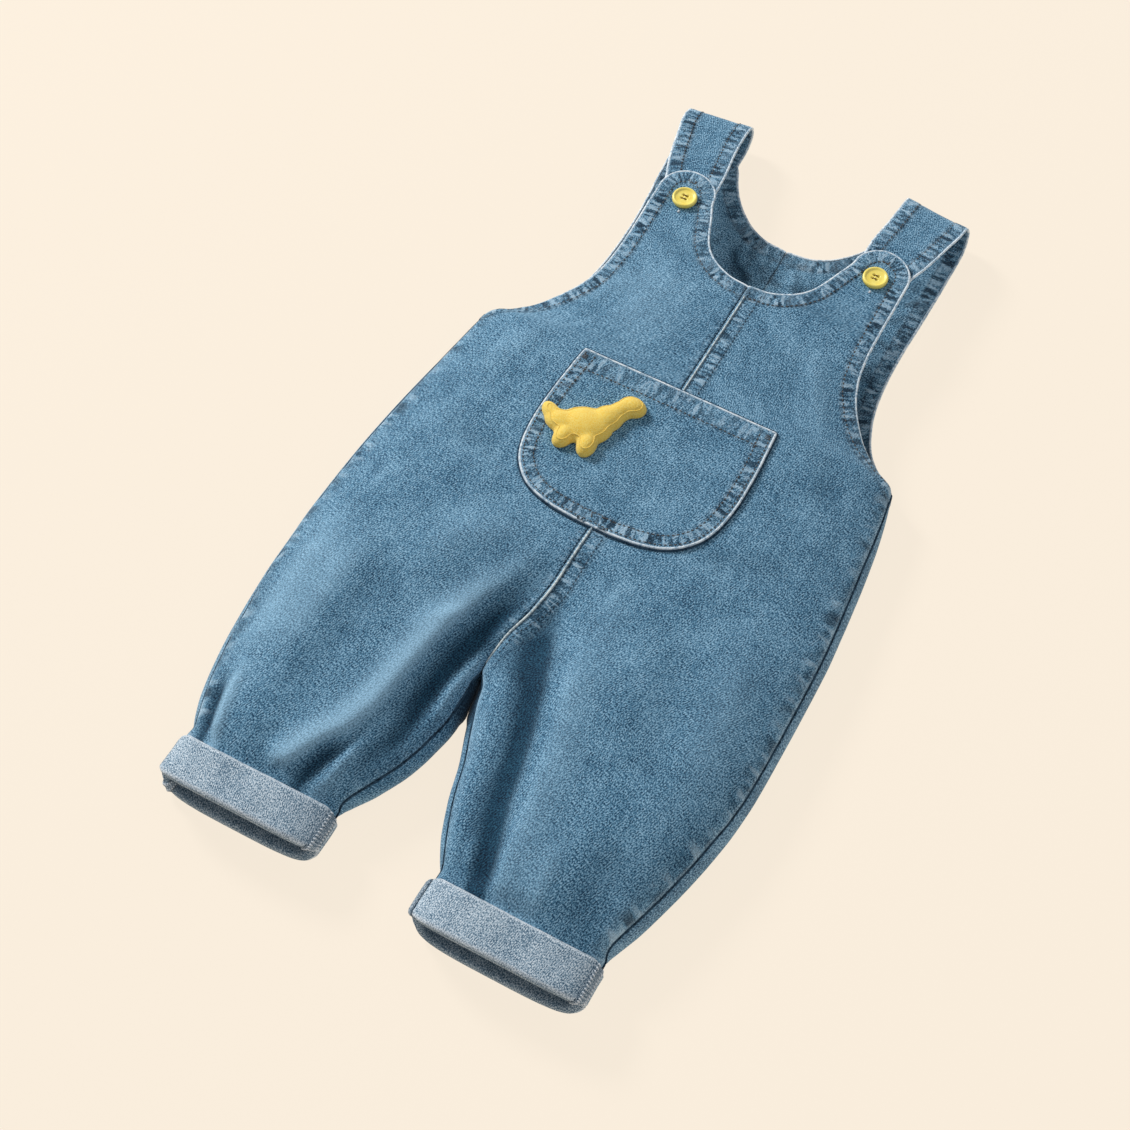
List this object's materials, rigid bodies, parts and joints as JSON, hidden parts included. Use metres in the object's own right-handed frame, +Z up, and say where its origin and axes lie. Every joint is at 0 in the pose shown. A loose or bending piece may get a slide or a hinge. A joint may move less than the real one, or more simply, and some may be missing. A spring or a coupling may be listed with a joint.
{
  "type": "kids dungarees",
  "caption": "Denim dungarees for a small child, lying flat with turned-up cuffs, a rounded bib with button tabs, folded-over straps and a patch pocket with a padded animal.",
  "frame": {"origin": "centre of the footprint, on the surface that the garment lies on", "axes": "+Z up from the surface, +Y towards the shoulders, +X towards the wearer's left"},
  "size_m": [0.32, 0.5972, 0.0455],
  "materials": {
    "denim": "washed twill, matt",
    "denim_reverse": "pale wrong side of the twill, matt",
    "button_plastic": "yellow, satin",
    "motif_cloth": "yellow brushed cloth, matt"
  },
  "bodies": {
    "root": {"front_left": "denim", "front_leg_left": "denim", "front_right": "denim", "front_leg_right": "denim", "back_left": "denim", "back_leg_left": "denim", "strap_left": "denim", "back_right": "denim", "back_leg_right": "denim", "strap_right": "denim", "pocket": "denim", "cuff_left": "denim_reverse", "cuff_right": "denim_reverse", "button_left": "button_plastic", "button_right": "button_plastic", "pocket_motif": "motif_cloth"}
  },
  "joints": []
}
